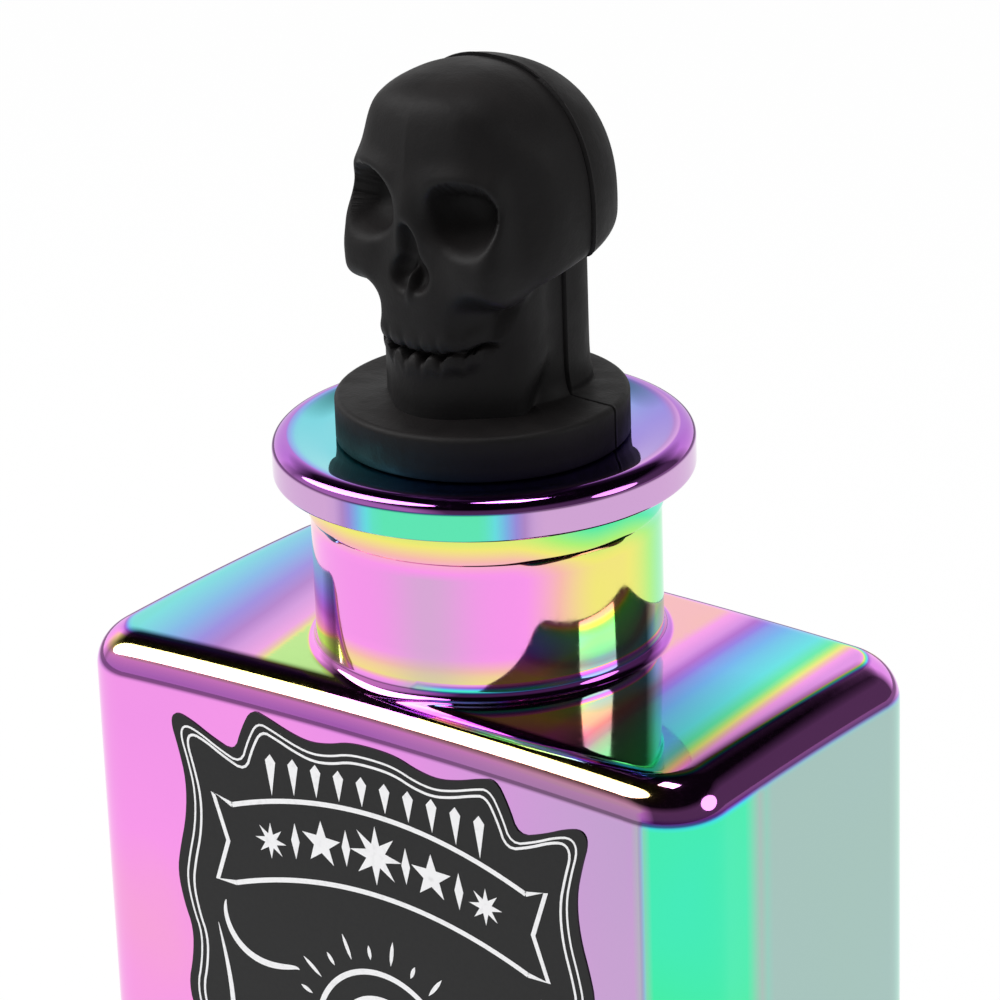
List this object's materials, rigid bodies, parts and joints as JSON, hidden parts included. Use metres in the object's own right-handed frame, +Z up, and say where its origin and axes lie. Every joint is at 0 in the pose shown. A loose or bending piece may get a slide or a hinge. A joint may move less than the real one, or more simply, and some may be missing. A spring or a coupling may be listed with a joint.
{
  "type": "stoppered bottle",
  "caption": "Flat-sided decanter bottle with a flanged neck, a die-cut front label and a skull-shaped stopper on a sealed plug.",
  "frame": {"origin": "middle of the base on the surface that the bottle stands on, on the axis of the neck", "axes": "+Z up through the neck, -Y out of the label's face, X along the wide front"},
  "size_m": [0.1, 0.0558, 0.2174],
  "materials": {
    "coated_glass": "mirror-smooth iridescent coating",
    "label_film": "printed film, semi-gloss",
    "head_resin": "matte moulded",
    "plug_plastic": "satin moulded",
    "seal_rubber": "smooth translucent",
    "steel": "plain"
  },
  "bodies": {
    "bottle": {"bottle_glass": "coated_glass", "front_label": "label_film"},
    "seals": {"seal_ring_upper": "seal_rubber", "seal_ring_middle": "seal_rubber", "seal_ring_lower": "seal_rubber"},
    "stopper": {"skull_front": "head_resin", "skull_rear": "head_resin", "dowel_lower": "steel", "dowel_upper": "steel", "plug_core": "plug_plastic", "head_screw": "steel", "screw_washer": "steel", "plug_cap": "plug_plastic"}
  },
  "joints": [
    {"name": "stopper_lift", "type": "slide", "parent": "bottle", "child": "seals", "axis": [0, 0, 1], "range_m": [0, 0.03]},
    {"name": "stopper_twist", "type": "hinge", "parent": "seals", "child": "stopper", "pos_m": [0, 0, 0.16], "axis": [0, 0, 1], "continuous": true}
  ]
}
